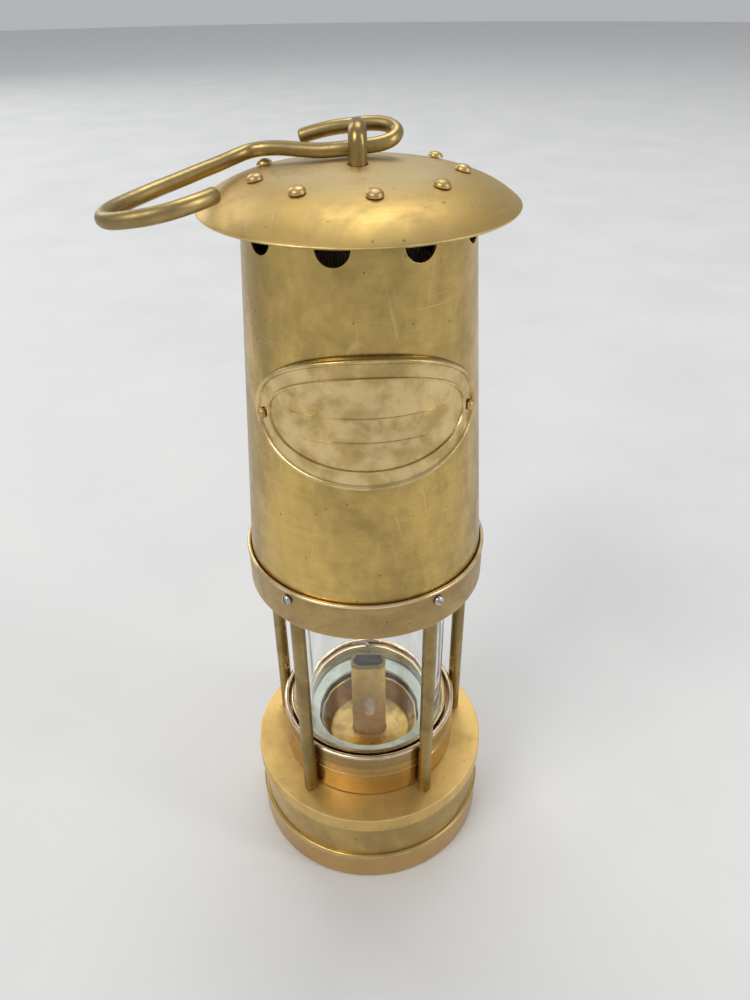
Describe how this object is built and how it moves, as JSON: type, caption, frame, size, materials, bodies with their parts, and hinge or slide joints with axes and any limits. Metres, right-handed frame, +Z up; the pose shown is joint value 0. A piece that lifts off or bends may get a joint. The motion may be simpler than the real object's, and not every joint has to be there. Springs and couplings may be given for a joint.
{
  "type": "miner's safety lamp",
  "caption": "Upright brass flame lamp with a round oil base, glass cylinder between pillars, tapered vented bonnet, domed hood and a wire hanging hook.",
  "frame": {"origin": "centre of the flat underside of the oil vessel, on the surface that the lamp stands on", "axes": "+Z up along the lamp's axis; -Y towards the front, where the oval plate is; +X to the right of someone facing the front"},
  "size_m": [0.1046, 0.0912, 0.2642],
  "materials": {
    "vessel_brass": "satin, tarnished",
    "frame_brass": "satin",
    "seat_brass": "polished, reddish",
    "band_brass": "brushed round the band",
    "bonnet_brass": "satin, lightly scratched",
    "hood_brass": "satin, faintly spotted",
    "hook_brass": "worn smooth",
    "burner_brass": "dull",
    "steel": "dull",
    "gauze": "woven wire, darkened",
    "glass": "clear, thick",
    "gasket": "matt",
    "leather": "oiled",
    "cotton": "woven"
  },
  "bodies": {
    "vessel": {"oil_vessel": "vessel_brass", "cotton_packing": "cotton", "burner_dish": "burner_brass", "wick_tube": "burner_brass", "wick": "cotton", "pricker_tube": "burner_brass", "filler_washer": "leather"},
    "pricker": {"pricker_knob": "vessel_brass", "pricker_wire": "steel"},
    "filler": {"filler_plug": "vessel_brass"},
    "lock": {"lock_screw": "steel"},
    "upper_frame": {"base_flange": "frame_brass", "pillar_1": "frame_brass", "pillar_2": "frame_brass", "pillar_3": "frame_brass", "pillar_4": "frame_brass", "pillar_5": "frame_brass", "glass_seat_ring": "seat_brass", "glass_clamp_ring": "frame_brass", "lower_gasket": "gasket", "lamp_glass": "glass", "upper_gasket": "gasket", "middle_band": "band_brass", "band_screw_1": "steel", "band_screw_2": "steel", "band_screw_3": "steel", "band_screw_4": "steel", "band_screw_5": "steel", "gauze_ring": "burner_brass", "inner_gauze": "gauze", "outer_gauze": "gauze", "bonnet": "bonnet_brass", "name_plate": "bonnet_brass", "plate_rivet_1": "bonnet_brass", "plate_rivet_2": "bonnet_brass", "hood": "hood_brass", "hood_rivet_1": "hood_brass", "hood_rivet_2": "hood_brass", "hood_rivet_3": "hood_brass", "hood_rivet_4": "hood_brass", "hood_rivet_5": "hood_brass", "hood_rivet_6": "hood_brass", "hood_rivet_7": "hood_brass", "hood_rivet_8": "hood_brass", "hood_rivet_9": "hood_brass", "staple": "hook_brass", "staple_nut_1": "steel", "staple_nut_2": "steel"},
    "hook": {"hook": "hook_brass"}
  },
  "joints": [
    {"name": "frame_lift", "type": "slide", "parent": "vessel", "child": "upper_frame", "axis": [0, 0, 1], "range_m": [0, 0.06]},
    {"name": "pricker_slide", "type": "slide", "parent": "vessel", "child": "pricker", "axis": [0, 0, 1], "range_m": [0, 0.005]},
    {"name": "filler_turn", "type": "hinge", "parent": "vessel", "child": "filler", "pos_m": [0.0245, -0.006, 0.003], "axis": [0, 0, 1], "continuous": true},
    {"name": "lock_turn", "type": "hinge", "parent": "vessel", "child": "lock", "pos_m": [0.02293, 0.02904, 0.005], "axis": [0, 0, 1], "continuous": true},
    {"name": "hook_swing", "type": "hinge", "parent": "upper_frame", "child": "hook", "pos_m": [0, 0.0056, 0.2573], "axis": [0, 0, 1], "range_deg": [-15, 15]}
  ]
}
